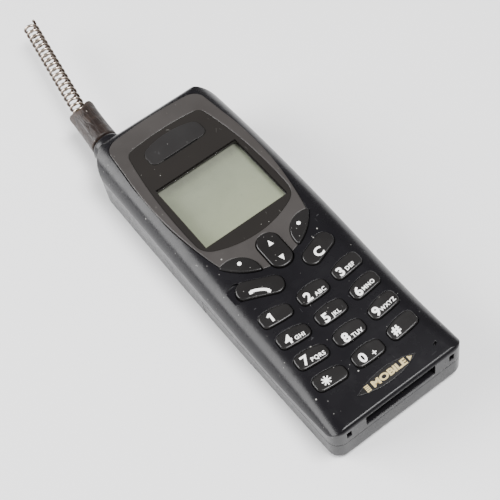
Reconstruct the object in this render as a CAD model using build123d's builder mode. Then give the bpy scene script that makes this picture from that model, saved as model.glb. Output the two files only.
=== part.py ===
from build123d import *
from math import cos, radians, sin, sqrt, tan
import os

os.makedirs("parts", exist_ok=True)

# A bar-shaped mobile phone of the nineties, lying on its flat back: +X to its right, +Y towards
# the antenna, +Z out of the face. The origin is the middle of the back.

# Casing
body_length = 138.0
widest = 52.4                # width at the widest place
widest_y = 20.0
side_bow_radius = 3300.0     # the sides bulge very slightly
bottom_corner_radius = 4.2   # corners seen from the front
top_corner_radius = 10.0
top_bow = 1.8                # how far the top end arches
back_edge_radius = 2.6
front_edge_radius = 1.4
top_edge_radius = 4.0        # where the face rolls over the top end
parting_height = 9.5         # seam between the front cover and the back half
joint_y = -1.0               # seam between the battery and the rear cover
cover_wall = 1.8
seam_gap = 0.3

# Face, in side view: a sloping line that bends into a long arc over the display
face_tilt = radians(3.87)
face_low = 17.4              # height of the face at the bottom end
bend_y = -7.5
bend_radius = 590.0

# Shoulders between the face and the sides
shoulder_width = 9.6
shoulder_drop = 9.2
end_shoulder_width = 4.4     # the shoulders shrink towards the bottom end
end_shoulder_drop = 3.0
shoulder_grow = 40.0
shoulder_spill = 0.12        # the shoulder runs this far past the side wall

# Keys, placed on the keypad plane
keypad_y = -27.3
column_pitch = 13.8
row_pitch = 8.9
key_half_width = 5.4
key_rise = 0.6
key_gap = 0.2
key_travel = 0.5
key_flange = 0.8
flange_thickness = 0.6
flange_gap = 0.15
well_gap = 0.3
key_edge_radius = 0.55
rocker_gap = 0.35
rocker_size = (8.0, 13.8)
rocker_center = 19.6
call_key_size = (15.6, 6.5)
call_key_place = (-11.7, 11.6)
call_key_turn = -25.0
clear_key_size = (12.9, 6.3)
clear_key_place = (11.0, 11.2)
clear_key_turn = 19.0
scoop_place = (-18.4, 14.5)
scoop_radius = 3.5
scoop_depth = 1.1
soft_key_overhang = 0.45     # past the bezel's edge

# Display bezel, lens and earpiece
bezel_flange = 1.2
bezel_depth = 2.8
bezel_ledge = 1.4
bezel_gap = 0.18
lens_thickness = 1.0
lens_set_back = 0.1
lens_gap = 0.1
window_size = (33.0, 29.8)
window_center = 49.3
window_corner = 1.5
earpiece_thickness = 1.4
earpiece_gap = 0.12
sound_slot = (14.0, 1.0)
earpiece_center = 77.3
plate_thickness = 0.5
mic_place = (17.6, -36.7)
mic_radius = 1.8
boot_top = 2.1               # the microphone's boot, below the face
boot_roof = 0.8

# Electronics
board_tilt = radians(1.5)
board_drop = 6.0             # board's top below the face at the first key row
board_thickness = 1.0
board_half_width = 21.4
board_bottom_y = -58.5
board_top_y = 58.0
mat_thickness = 0.6
dome_radius = 2.4
dome_height = 0.5
lcd_size = (36.0, 35.0)
lcd_thickness = 2.2
lcd_lip = 1.2                # how far the frame reaches over the glass
lip_thickness = 0.2
shield_height = 4.5
guide_thickness = 1.6
chip_height = 1.4
speaker_radius = 7.0
speaker_height = 2.7
slot_width = 26.4
slot_height = 5.0
slot_drop = 1.15             # top of the connector slot below the bottom end's face
socket_depth = 5.2
contact_count = 12
contact_pitch = 1.9

# Rear cover, battery and latch
floor_plate = 1.0
post_radius = 2.2
rear_post_radius = 3.4       # thick enough to run into the side walls
screw_x = 21.4
screw_rows = (-60.8, 6.5, 46.0)
screw_shank_radius = 0.95
screw_head_radius = 1.8
screw_head_height = 1.3
screw_gap = 0.05
screw_head_gap = 0.15
battery_wall = 1.3
battery_gap = 0.2            # play between the battery and the phone
battery_lid = 1.1
battery_slide = 6.0
cell_width = 14.6
hook_x = 17.0
hook_rows = (-54.0, -14.0)
hook_size = (1.8, 3.0)
hook_head = (3.4, 0.8)
hook_gap = 0.3
hook_end_gap = 0.4
latch_width = 16.0
latch_length = 9.0
latch_travel = 2.0
latch_gap = 0.2
latch_y = 8.0
tongue = (10.0, 1.6)

# Antenna
antenna_x = -15.9
antenna_z = 12.5
boss_radius = 6.0
boss_end = 73.5
socket_radius = 4.0
stud_radius = 2.5
stud_gap = 0.05
sheath_radius = 5.4
sheath_start = 74.1
sheath_end = 94.0
sheath_bore = 3.4
mouth_bore = 4.3
sheath_lean = radians(4.0)
spring_start = 86.0
spring_end = 147.6
spring_lean = radians(8.6)
spring_radius = 2.35         # to the middle of the wire
wire_radius = 0.6
spring_pitch = 2.95

half_length = body_length / 2
half_width = widest / 2


# Formulas of the casing's shape

bend_height = face_low + tan(face_tilt) * (bend_y + half_length)
arc_center_y = bend_y + bend_radius * sin(face_tilt)
arc_center_z = bend_height - bend_radius * cos(face_tilt)


def face_height(y):
    if y <= bend_y:
        return face_low + tan(face_tilt) * (y + half_length)
    return arc_center_z + sqrt(bend_radius**2 - (y - arc_center_y) ** 2)


def side_width(y):
    return half_width - side_bow_radius + sqrt(side_bow_radius**2 - (y - widest_y) ** 2)


def shoulder(y):
    """Width and drop of the shoulder at a place along the phone."""
    lack = max(0.0, (shoulder_grow - half_length - y) / shoulder_grow) ** 2
    width = shoulder_width - (shoulder_width - end_shoulder_width) * lack
    drop = shoulder_drop - (shoulder_drop - end_shoulder_drop) * lack
    return width, drop


face = Plane(
    origin=(0, keypad_y, face_height(keypad_y)),
    x_dir=(1, 0, 0),
    z_dir=(0, -sin(face_tilt), cos(face_tilt)),
)
board = Plane(
    origin=(0, keypad_y, face_height(keypad_y) - board_drop),
    x_dir=(1, 0, 0),
    z_dir=(0, -sin(board_tilt), cos(board_tilt)),
)


def board_height(y):
    return board.origin.Z + tan(board_tilt) * (y - keypad_y)


# Shapes that several pieces share

def plan_outline(inset=0.0):
    """The casing's outline from the front, drawn in by the inset."""
    low, high = inset - half_length, half_length - top_bow - inset
    low_x, wide_x, high_x = side_width(low) - inset, half_width - inset, side_width(high) - inset
    with BuildSketch(mode=Mode.PRIVATE) as outline:
        with BuildLine():
            Line((-low_x, low), (low_x, low))
            ThreePointArc((low_x, low), (wide_x, widest_y), (high_x, high))
            ThreePointArc((high_x, high), (0, half_length - inset), (-high_x, high))
            ThreePointArc((-high_x, high), (-wide_x, widest_y), (-low_x, low))
        make_face()
        corners = outline.vertices().group_by(Axis.Y)
        fillet(corners[0], bottom_corner_radius - inset)
        fillet(outline.vertices().group_by(Axis.Y)[-1], top_corner_radius - inset)
    return outline.sketch


def face_layer(top, bottom, reach=60.0):
    """What lies between two depths below the face, over the whole phone."""
    low, high = -half_length - 6, half_length + 8
    half = (bend_y + high) / 2

    def on_arc(y, depth):
        return y, arc_center_z + sqrt((bend_radius - depth) ** 2 - (y - arc_center_y) ** 2)

    def bend_point(depth):
        return bend_y + depth * sin(face_tilt), bend_height - depth * cos(face_tilt)

    def low_point(depth):
        bend = bend_point(depth)
        return low, bend[1] - tan(face_tilt) * (bend[0] - low)

    with BuildPart(mode=Mode.PRIVATE) as layer:
        with BuildSketch(Plane.YZ):
            with BuildLine():
                Line(low_point(top), bend_point(top))
                ThreePointArc(bend_point(top), on_arc(half, top), on_arc(high, top))
                Line(on_arc(high, top), on_arc(high, bottom))
                ThreePointArc(on_arc(high, bottom), on_arc(half, bottom), bend_point(bottom))
                Line(bend_point(bottom), low_point(bottom))
                Line(low_point(bottom), low_point(top))
            make_face()
        extrude(amount=reach, both=True)
    return layer.part


def shoulder_form(inset):
    """A long tunnel with the casing's face and shoulders."""
    stations = [-half_length - 3, -54, -42, -29, 0, 30, 55, half_length + 8]
    round_off = 0.5523
    with BuildPart(mode=Mode.PRIVATE) as form:
        for y in stations:
            width, drop = shoulder(max(y, -half_length))
            side = side_width(y) + shoulder_spill - inset
            top = face_height(y) - inset
            width, drop = width - inset / 2, drop - inset / 2
            with BuildSketch(Plane.XZ.offset(-y)):
                with BuildLine():
                    Line((-side, 0), (side, 0))
                    Line((side, 0), (side, top - drop))
                    Bezier(
                        (side, top - drop), (side, top - drop * (1 - round_off)),
                        (side - width * (1 - round_off), top), (side - width, top),
                    )
                    Line((side - width, top), (width - side, top))
                    Bezier(
                        (width - side, top), (width * (1 - round_off) - side, top),
                        (-side, top - drop * (1 - round_off)), (-side, top - drop),
                    )
                    Line((-side, top - drop), (-side, 0))
                make_face()
        loft()
    return form.part


def end_roll():
    """A long block whose upper edge is rounded off over the top end."""
    end, top = half_length + 0.01, face_height(half_length - top_edge_radius)
    with BuildPart(mode=Mode.PRIVATE) as roll:
        with BuildSketch(Plane.YZ):
            with BuildLine():
                Line((-2 * half_length, 0), (end, 0))
                Line((end, 0), (end, top - top_edge_radius))
                RadiusArc(
                    (end, top - top_edge_radius), (end - top_edge_radius, top), -top_edge_radius
                )
                Line((end - top_edge_radius, top), (end - top_edge_radius, 2 * top))
                Line((end - top_edge_radius, 2 * top), (-2 * half_length, 2 * top))
                Line((-2 * half_length, 2 * top), (-2 * half_length, 0))
            make_face()
        extrude(amount=widest, both=True)
    return roll.part


def front_form(inset):
    """The casing above its seam as one block, drawn in by the inset."""
    with BuildPart(mode=Mode.PRIVATE) as form:
        with BuildSketch(Plane.XY.offset(parting_height)):
            add(plan_outline(inset))
        extrude(amount=3 * parting_height)
        add(face_layer(inset, 40), mode=Mode.INTERSECT)
        if inset < front_edge_radius / 2:
            rim = form.edges().filter_by(lambda edge: edge.center().Z > face_low - 1)
            fillet(rim.filter_by(lambda edge: on_rim(edge)), front_edge_radius)
            add(end_roll(), mode=Mode.INTERSECT)
        add(shoulder_form(inset), mode=Mode.INTERSECT)
    return form.part


def on_rim(edge):
    """An edge round the face, not one across it or up a corner."""
    middle = edge @ 0.5
    ends = edge @ 0, edge @ 1
    upright = abs(ends[0].Z - ends[1].Z) > 5 and abs(ends[0].Y - ends[1].Y) < 5
    across = abs(middle.X) < 1 and abs(middle.Y) < half_length - 5
    return not upright and not across


def back_form(inset, floor):
    """The casing below its seam as one block, drawn in by the inset."""
    with BuildPart(mode=Mode.PRIVATE) as form:
        with BuildSketch(Plane.XY.offset(floor)):
            add(plan_outline(inset))
        extrude(amount=parting_height - floor)
        if not inset:
            fillet(form.faces().sort_by(Axis.Z)[0].edges(), back_edge_radius)
    return form.part


def block(x, y, z):
    """A plain box between pairs of limits."""
    center = ((x[0] + x[1]) / 2, (y[0] + y[1]) / 2, (z[0] + z[1]) / 2)
    with BuildPart(mode=Mode.PRIVATE) as box:
        with Locations(center):
            Box(x[1] - x[0], y[1] - y[0], z[1] - z[0])
    return box.part


# Key outlines, on the keypad plane

def number_key(column, row):
    """A number key: the outer columns are taller at their outer end."""
    w = key_half_width
    outer_low, inner_low = (-1.4, -2.4) if column else (-2.6, -2.6)
    outer_high, inner_high = (3.5, 1.9) if column else (1.9, 1.9)
    crown = 3.6 if column else 3.0
    belly = -2.15 if column else -2.95
    side = column or 1
    with BuildSketch(mode=Mode.PRIVATE) as key:
        with BuildLine():
            ThreePointArc((-w * side, inner_low), (0, belly), (w * side, outer_low))
            Line((w * side, outer_low), (w * side, outer_high))
            ThreePointArc((w * side, outer_high), (0, crown), (-w * side, inner_high))
            Line((-w * side, inner_high), (-w * side, inner_low))
        make_face()
        fillet(key.vertices(), 1.9)
    return key.sketch.moved(Location((column * column_pitch, -row * row_pitch, 0)))


def oval_key(size, place, turn):
    """A long key with rounded ends, lying aslant."""
    with BuildSketch(mode=Mode.PRIVATE) as key:
        with Locations(Location((*place, 0), turn)):
            RectangleRounded(*size, size[1] * 0.46)
    return key.sketch


def soft_key(side):
    """A leaf-shaped key on the edge of the bezel."""
    rim = bezel_arc_radius + soft_key_overhang

    def on_arc(x):
        return side * x, bezel_arc_center - sqrt(rim**2 - x**2)

    with BuildSketch(mode=Mode.PRIVATE) as key:
        with BuildLine():
            ThreePointArc(on_arc(7.2), on_arc(12.9), on_arc(17.9))
            ThreePointArc(on_arc(17.9), (side * 9.8, 24.0), on_arc(7.2))
        make_face()
        fillet(key.vertices(), 0.5)
    return key.sketch


bezel_arc_radius = 20.27     # the bezel's lower edge
bezel_arc_center = 35.6

number_names = [
    ("key_1", "key_2", "key_3"),
    ("key_4", "key_5", "key_6"),
    ("key_7", "key_8", "key_9"),
    ("key_star", "key_0", "key_hash"),
]
key_outlines = {
    name: number_key(column - 1, row)
    for row, names in enumerate(number_names)
    for column, name in enumerate(names)
}
key_outlines["key_call"] = oval_key(call_key_size, call_key_place, call_key_turn)
key_outlines["key_clear"] = oval_key(clear_key_size, clear_key_place, clear_key_turn)
key_outlines["soft_key_left"] = soft_key(-1)
key_outlines["soft_key_right"] = soft_key(1)
key_outlines["scroll_key"] = oval_key(rocker_size[::-1], (0, rocker_center), 90)
bezel_keys = ("soft_key_left", "soft_key_right", "scroll_key")


def hole_gap(name):
    return rocker_gap if name == "scroll_key" else key_gap


def skin_depth(name):
    return bezel_depth if name in bezel_keys else cover_wall


# Bezel, lens and earpiece outlines, on the keypad plane

def bezel_outline():
    with BuildSketch(mode=Mode.PRIVATE) as outline:
        with BuildLine():
            foot = (17.1, bezel_arc_center - sqrt(bezel_arc_radius**2 - 17.1**2))
            ThreePointArc((-foot[0], foot[1]), (0, bezel_arc_center - bezel_arc_radius), foot)
            ThreePointArc(foot, (21.2, 50), (20.6, 76))
            Line((20.6, 76), (19.3, 91.7))
            ThreePointArc((19.3, 91.7), (0, 93.1), (-19.3, 91.7))
            Line((-19.3, 91.7), (-20.6, 76))
            ThreePointArc((-20.6, 76), (-21.2, 50), (-foot[0], foot[1]))
        make_face()
        fillet(outline.vertices().group_by(Axis.Y)[-1], 5.5)
    return outline.sketch


def lens_outline(gap=0.0):
    """The lens, or with a gap the pocket that takes it."""
    foot, waist, head = (18.3 + gap, 33.6 - gap), (18.5 + gap, 57), (15.2 + gap, 83.8 + gap)
    with BuildSketch(mode=Mode.PRIVATE) as outline:
        with BuildLine():
            ThreePointArc((-foot[0], foot[1]), (0, 28.2 - gap), foot)
            ThreePointArc(foot, waist, head)
            ThreePointArc(head, (0, 85.1 + gap), (-head[0], head[1]))
            ThreePointArc((-head[0], head[1]), (-waist[0], waist[1]), (-foot[0], foot[1]))
        make_face()
        fillet(outline.vertices().group_by(Axis.Y)[0], 6.5 + gap)
        fillet(outline.vertices().group_by(Axis.Y)[-1], 3.5 + gap)
    return outline.sketch


def earpiece_outline():
    with BuildSketch(mode=Mode.PRIVATE) as outline:
        with BuildLine():
            ThreePointArc((-11.2, 73.2), (0, 72.4), (11.2, 73.2))
            Line((11.2, 73.2), (11.2, 79.9))
            ThreePointArc((11.2, 79.9), (0, 82.5), (-11.2, 79.9))
            Line((-11.2, 79.9), (-11.2, 73.2))
        make_face()
        fillet(outline.vertices().group_by(Axis.Y)[0], 2.2)
        fillet(outline.vertices().group_by(Axis.Y)[-1], 3.6)
    return outline.sketch


def plate_outline():
    with BuildSketch(mode=Mode.PRIVATE) as outline:
        with BuildLine():
            ThreePointArc((-10.9, 0), (0, -2.3), (10.9, 0))
            ThreePointArc((10.9, 0), (0, 2.3), (-10.9, 0))
        make_face()
    return outline.sketch.moved(Location((0, -35.6, 0)))


def column_through(outline, gap=0.0, reach=12.0):
    """An outline on the keypad plane drawn out both ways."""
    with BuildPart(mode=Mode.PRIVATE) as column:
        with BuildSketch(face):
            add(outline)
            if gap:
                offset(amount=gap)
        extrude(amount=reach, both=True)
    return column.part


def slab(outline, top, bottom, gap=0.0):
    """An outline cut out of the layer between two depths below the face."""
    with BuildPart(mode=Mode.PRIVATE) as piece:
        add(column_through(outline, gap))
        add(face_layer(top, bottom), mode=Mode.INTERSECT)
    return piece.part


def upright_cylinder(place, radius, z):
    with BuildPart(mode=Mode.PRIVATE) as post:
        with Locations((place[0], place[1], z[0])):
            Cylinder(radius, z[1] - z[0], align=(Align.CENTER, Align.CENTER, Align.MIN))
    return post.part


def antenna_cylinder(radius, start, end):
    """A cylinder on the antenna's axis between two places along the phone."""
    with BuildPart(mode=Mode.PRIVATE) as piece:
        with BuildSketch(Plane.XZ.offset(-start)):
            with Locations((antenna_x, antenna_z)):
                Circle(radius)
        extrude(amount=start - end)
    return piece.part


screw_places = [(side * screw_x, y) for y in screw_rows for side in (-1, 1)]
low_screws = [place for place in screw_places if place[1] < joint_y]
high_screws = [place for place in screw_places if place[1] > joint_y]
plate_top = parting_height + floor_plate
pad_top = plate_top + 1.3
seat_low = parting_height + 0.1 + screw_head_height
seat_high = 6.0
slot_top = face_low - slot_drop
slot_bottom = slot_top - slot_height
post_hole = screw_shank_radius + screw_gap

bezel_shape = bezel_outline()
lens_shape = lens_outline()
earpiece_shape = earpiece_outline()
inner_front = front_form(cover_wall)
half_front = front_form(cover_wall / 2)
scoop_shape = Circle(scoop_radius).moved(Location((*scoop_place, 0)))
window_shape = RectangleRounded(*window_size, window_corner).moved(Location((0, window_center, 0)))


# Front cover

with BuildPart() as antenna_boss:
    add(antenna_cylinder(boss_radius, 61, boss_end))
    fillet(antenna_boss.faces().sort_by(Axis.Y)[-1].edges(), 1.8)

with BuildPart() as front_cover:
    add(front_form(0))
    add(inner_front, mode=Mode.SUBTRACT)
    add(antenna_boss.part & block((-30, 0), (50, 80), (parting_height, 30)))
    for place in screw_places:
        base = pad_top if place in low_screws else parting_height
        add(upright_cylinder(place, post_radius, (base, 26)) & half_front)
    for place in screw_places:
        base = pad_top if place in low_screws else parting_height
        add(upright_cylinder(place, post_hole, (base - 1, base + 4.2)), mode=Mode.SUBTRACT)
    add(slab(bezel_shape, -3, bezel_flange, bezel_gap), mode=Mode.SUBTRACT)
    with BuildSketch(face):
        add(bezel_shape)
        offset(amount=-bezel_ledge)
    extrude(amount=12, both=True, mode=Mode.SUBTRACT)
    for name, outline in key_outlines.items():
        add(column_through(outline, hole_gap(name)), mode=Mode.SUBTRACT)
        well = key_flange + well_gap
        add(slab(outline, cover_wall, 9, well), mode=Mode.SUBTRACT)
    add(slab(plate_outline(), -1, plate_thickness + 0.05, 0.05), mode=Mode.SUBTRACT)
    add(slab(scoop_shape, -1, scoop_depth), mode=Mode.SUBTRACT)
    with BuildSketch(face):
        with Locations(mic_place):
            SlotOverall(1.5, 0.6, rotation=25)
    extrude(amount=4, both=True, mode=Mode.SUBTRACT)
    end = (-half_length - 1, -half_length + cover_wall + 1)
    add(block((-slot_width / 2, slot_width / 2), end, (slot_bottom, slot_top)), mode=Mode.SUBTRACT)
    for side in (-1, 1):
        x = side * 19.6
        add(block((x - 0.9, x + 0.9), end, (slot_bottom + 0.7, slot_bottom + 3.8)), mode=Mode.SUBTRACT)
    add(antenna_cylinder(socket_radius, 50, 80), mode=Mode.SUBTRACT)

front_cover.part.label = "front_cover"
export_step(front_cover.part, "parts/front_cover.step")


# Display bezel, lens, earpiece and name plate

with BuildPart() as display_bezel:
    add(slab(bezel_shape, 0.05, bezel_flange))
    with BuildPart(mode=Mode.PRIVATE) as bezel_inside:
        with BuildSketch(face):
            add(bezel_shape)
            offset(amount=-bezel_ledge - bezel_gap)
        extrude(amount=12, both=True)
        add(face_layer(bezel_flange - 0.2, bezel_depth), mode=Mode.INTERSECT)
    add(bezel_inside.part)
    add(slab(lens_outline(lens_gap), -2, lens_set_back + lens_thickness), mode=Mode.SUBTRACT)
    add(column_through(window_shape, 0.4), mode=Mode.SUBTRACT)
    with BuildSketch(face):
        with Locations((0, earpiece_center)):
            RectangleRounded(16, 4.5, 2)
    extrude(amount=12, both=True, mode=Mode.SUBTRACT)
    for name in bezel_keys:
        add(column_through(key_outlines[name], hole_gap(name)), mode=Mode.SUBTRACT)
display_bezel.part.label = "display_bezel"
export_step(display_bezel.part, "parts/display_bezel.step")

with BuildPart() as display_lens:
    add(slab(lens_shape, lens_set_back, lens_set_back + lens_thickness))
    add(column_through(earpiece_shape, earpiece_gap), mode=Mode.SUBTRACT)
display_lens.part.label = "display_lens"
export_step(display_lens.part, "parts/display_lens.step")

with BuildPart() as earpiece_insert:
    add(slab(earpiece_shape, -0.1, lens_set_back + lens_thickness))
    with BuildSketch(face):
        with Locations((0, 72.6)):
            SlotOverall(*sound_slot)
    extrude(amount=12, both=True, mode=Mode.SUBTRACT)
earpiece_insert.part.label = "earpiece_insert"
export_step(earpiece_insert.part, "parts/earpiece_insert.step")

with BuildPart() as name_plate:
    add(slab(plate_outline(), 0, plate_thickness + 0.05))
name_plate.part.label = "name_plate"
export_step(name_plate.part, "parts/name_plate.step")


# Keys: a cap, a flange under the skin and a plunger over its dome

mat_top = Plane(board.origin + board.z_dir * mat_thickness, x_dir=(1, 0, 0), z_dir=board.z_dir)
plunger_gap = key_travel + 0.1
above_domes = Plane(
    mat_top.origin + board.z_dir * (dome_height + plunger_gap), x_dir=(1, 0, 0), z_dir=board.z_dir
)


def key_center(name):
    if name == "scroll_key":
        return Vector(0, rocker_center, 0)
    return key_outlines[name].faces()[0].center()


for name, outline in key_outlines.items():
    flange_top = skin_depth(name) + flange_gap
    if name == "scroll_key":
        flange_top += key_travel
    flange_bottom = flange_top + flange_thickness
    with BuildPart() as key:
        with BuildSketch(face.offset(-flange_bottom)):
            add(outline)
        extrude(amount=flange_bottom + key_rise)
        fillet(key.faces().sort_by(Axis.Z)[-1].edges(), key_edge_radius)
        with BuildSketch(face.offset(-flange_bottom)):
            add(outline)
            offset(amount=key_flange)
        extrude(amount=flange_thickness)
        middle = key_center(name)
        spots = [(middle.X, middle.Y)]
        if name == "scroll_key":
            spots = [(0, rocker_center - 4.2), (0, rocker_center + 4.2)]
        with BuildSketch(face.offset(-flange_bottom)):
            with Locations(*spots):
                Circle(1.5)
        extrude(amount=-6)
        split(bisect_by=above_domes, keep=Keep.TOP)
    key.part.label = name
    export_step(key.part, f"parts/{name}.step")


# Keypad mat, a sheet of rubber with a dome under each key, on the circuit board

def on_board(point):
    """A place on the keypad plane, straight down onto the board, in the board's own measure."""
    spot = face.from_local_coords(Vector(point[0], point[1], -board_drop * cos(face_tilt)))
    local = board.to_local_coords(spot)
    return local.X, local.Y


dome_spots = []
for name in key_outlines:
    middle = key_center(name)
    if name == "scroll_key":
        dome_spots += [on_board((0, middle.Y - 4.2)), on_board((0, middle.Y + 4.2))]
    else:
        dome_spots.append(on_board((middle.X, middle.Y)))

with BuildPart() as keypad_mat:
    with BuildSketch(board):
        with Locations((0, -1.5)):
            RectangleRounded(40.6, 59, 3)
    extrude(amount=mat_thickness)
    with BuildSketch(board.offset(mat_thickness)):
        with Locations(*dome_spots):
            Circle(dome_radius)
    extrude(amount=dome_height, taper=20)
keypad_mat.part.label = "keypad_mat"
export_step(keypad_mat.part, "parts/keypad_mat.step")


# Circuit board and what is on it

with BuildPart() as circuit_board:
    with BuildSketch(board):
        with Locations((0, (board_bottom_y + board_top_y) / 2 - keypad_y)):
            Rectangle(2 * board_half_width, board_top_y - board_bottom_y)
        for place in screw_places:
            with Locations((place[0], place[1] - keypad_y)):
                Circle(post_radius + 0.4, mode=Mode.SUBTRACT)
        with Locations((antenna_x, board_top_y - keypad_y)):
            Rectangle(16, 8, mode=Mode.SUBTRACT)
    extrude(amount=-board_thickness)
circuit_board.part.label = "circuit_board"
export_step(circuit_board.part, "parts/circuit_board.step")

board_under = board.offset(-board_thickness)


def on_board_box(plane, x, y, height, radius=0.0):
    """A part standing on one face of the board; y is measured along the phone."""
    with BuildPart(mode=Mode.PRIVATE) as piece:
        with BuildSketch(plane):
            with Locations(((x[0] + x[1]) / 2, (y[0] + y[1]) / 2 - keypad_y)):
                if radius:
                    RectangleRounded(x[1] - x[0], y[1] - y[0], radius)
                else:
                    Rectangle(x[1] - x[0], y[1] - y[0])
        extrude(amount=height)
    return piece.part


def shield(x, y, height):
    """A sheet-metal can, open towards the board."""
    sheet = 0.3
    with BuildPart(mode=Mode.PRIVATE) as can:
        add(on_board_box(board_under, x, y, -height, 1.0))
        inner_x = (x[0] + sheet, x[1] - sheet)
        inner_y = (y[0] + sheet, y[1] - sheet)
        add(on_board_box(board_under, inner_x, inner_y, sheet - height, 0.7), mode=Mode.SUBTRACT)
    return can.part


with BuildPart() as radio_shield:
    add(shield((-18, 18), (14, 40), shield_height))
radio_shield.part.label = "radio_shield"
export_step(radio_shield.part, "parts/radio_shield.step")

with BuildPart() as processor_shield:
    add(shield((-16, 16), (3, 12.5), shield_height))
processor_shield.part.label = "processor_shield"
export_step(processor_shield.part, "parts/processor_shield.step")

chip_places = [(-8, 22, 9), (6, 24, 7), (-6, 33, 6), (9, 34, 8), (-9, 8, 5), (4, 8, 6)]
with BuildPart() as chips:
    for x, y, size in chip_places:
        across, along = (x - size / 2, x + size / 2), (y - size / 2.4, y + size / 2.4)
        add(on_board_box(board_under, across, along, -chip_height))
chips.part.label = "chips"
export_step(chips.part, "parts/chips.step")

window_y = face.from_local_coords(Vector(0, window_center, 0)).Y
guide_y = (window_y - lcd_size[1] / 2, window_y + lcd_size[1] / 2)
guide_x = (-lcd_size[0] / 2, lcd_size[0] / 2)

with BuildPart() as light_guide:
    add(on_board_box(board, guide_x, guide_y, guide_thickness))
light_guide.part.label = "light_guide"
export_step(light_guide.part, "parts/light_guide.step")

with BuildPart() as lcd_glass:
    add(on_board_box(board.offset(guide_thickness), guide_x, guide_y, lcd_thickness))
lcd_glass.part.label = "lcd_glass"
export_step(lcd_glass.part, "parts/lcd_glass.step")

frame_wall = 0.8
with BuildPart() as lcd_frame:
    outer_x = (guide_x[0] - frame_wall, guide_x[1] + frame_wall)
    outer_y = (guide_y[0] - frame_wall, guide_y[1] + frame_wall)
    stack = guide_thickness + lcd_thickness
    add(on_board_box(board, outer_x, outer_y, stack + lip_thickness, 1.0))
    add(on_board_box(board, guide_x, guide_y, stack), mode=Mode.SUBTRACT)
    lip_x = (guide_x[0] + lcd_lip, guide_x[1] - lcd_lip)
    lip_y = (guide_y[0] + lcd_lip, guide_y[1] - lcd_lip)
    add(on_board_box(board, lip_x, lip_y, stack + 2), mode=Mode.SUBTRACT)
lcd_frame.part.label = "lcd_frame"
export_step(lcd_frame.part, "parts/lcd_frame.step")

speaker_y = face.from_local_coords(Vector(0, earpiece_center, 0)).Y
with BuildPart() as earpiece_speaker:
    with BuildSketch(board):
        with Locations((0, speaker_y - keypad_y)):
            Circle(speaker_radius)
    extrude(amount=speaker_height)
    fillet(earpiece_speaker.faces().sort_by(Axis.Z)[-1].edges(), 0.5)
earpiece_speaker.part.label = "earpiece_speaker"
export_step(earpiece_speaker.part, "parts/earpiece_speaker.step")

with BuildPart() as speaker_gasket:
    with BuildSketch(board.offset(speaker_height)):
        with Locations((0, speaker_y - keypad_y)):
            Circle(speaker_radius - 0.7)
            Circle(speaker_radius - 2.2, mode=Mode.SUBTRACT)
    extrude(amount=3)
    add(face_layer(bezel_depth, 12), mode=Mode.INTERSECT)
speaker_gasket.part.label = "speaker_gasket"
export_step(speaker_gasket.part, "parts/speaker_gasket.step")

with BuildPart() as microphone:
    with BuildSketch(face.offset(-boot_top - boot_roof)):
        with Locations(mic_place):
            Circle(mic_radius)
    extrude(amount=-2.0)
microphone.part.label = "microphone"
export_step(microphone.part, "parts/microphone.step")

with BuildPart() as microphone_boot:
    with BuildSketch(face.offset(-boot_top)):
        with Locations(mic_place):
            Circle(mic_radius + 0.7)
    extrude(amount=-2.8)
    with BuildSketch(face.offset(-boot_top)):
        with Locations(mic_place):
            Circle(0.9)
    extrude(amount=-boot_roof, mode=Mode.SUBTRACT)
    with BuildSketch(face.offset(-boot_top - boot_roof)):
        with Locations(mic_place):
            Circle(mic_radius)
    extrude(amount=-3, mode=Mode.SUBTRACT)
microphone_boot.part.label = "microphone_boot"
export_step(microphone_boot.part, "parts/microphone_boot.step")

with BuildPart() as buzzer:
    with BuildSketch(board_under):
        with Locations((8, 49 - keypad_y)):
            Circle(5.5)
    extrude(amount=-4.2)
    with BuildSketch(board_under.offset(-4.2)):
        with Locations((8, 49 - keypad_y)):
            Circle(0.8)
    extrude(amount=1.5, mode=Mode.SUBTRACT)
buzzer.part.label = "buzzer"
export_step(buzzer.part, "parts/buzzer.step")


# Socket for the charger and car kit, behind the slot in the bottom end

socket_y = (-half_length + cover_wall + 0.1, -half_length + cover_wall + 0.1 + socket_depth + 1.5)
contact_x = [(index - (contact_count - 1) / 2) * contact_pitch for index in range(contact_count)]
contact_bars = [
    block((x - 0.4, x + 0.4), (socket_y[1] - 3.4, socket_y[1] + 1.6), (slot_top - 1.5, slot_top - 1.1))
    for x in contact_x
]

with BuildPart() as system_connector:
    add(block(
        (-slot_width / 2 - 0.9, slot_width / 2 + 0.9), socket_y, (plate_top + 0.15, slot_top - 0.7)
    ))
    add(block(
        (-slot_width / 2 - 0.1, slot_width / 2 + 0.1), (socket_y[0] - 1, socket_y[1] - 1.2),
        (slot_bottom - 0.05, slot_top + 1),
    ), mode=Mode.SUBTRACT)
    add(contact_bars, mode=Mode.SUBTRACT)
system_connector.part.label = "system_connector"
export_step(system_connector.part, "parts/system_connector.step")

with BuildPart() as connector_contacts:
    add(contact_bars)
connector_contacts.part.label = "connector_contacts"
export_step(connector_contacts.part, "parts/connector_contacts.step")


# Rear cover, with the floor plate that closes the phone over the battery

rear_y = joint_y + seam_gap / 2
plate_inset = cover_wall + 0.15

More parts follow.
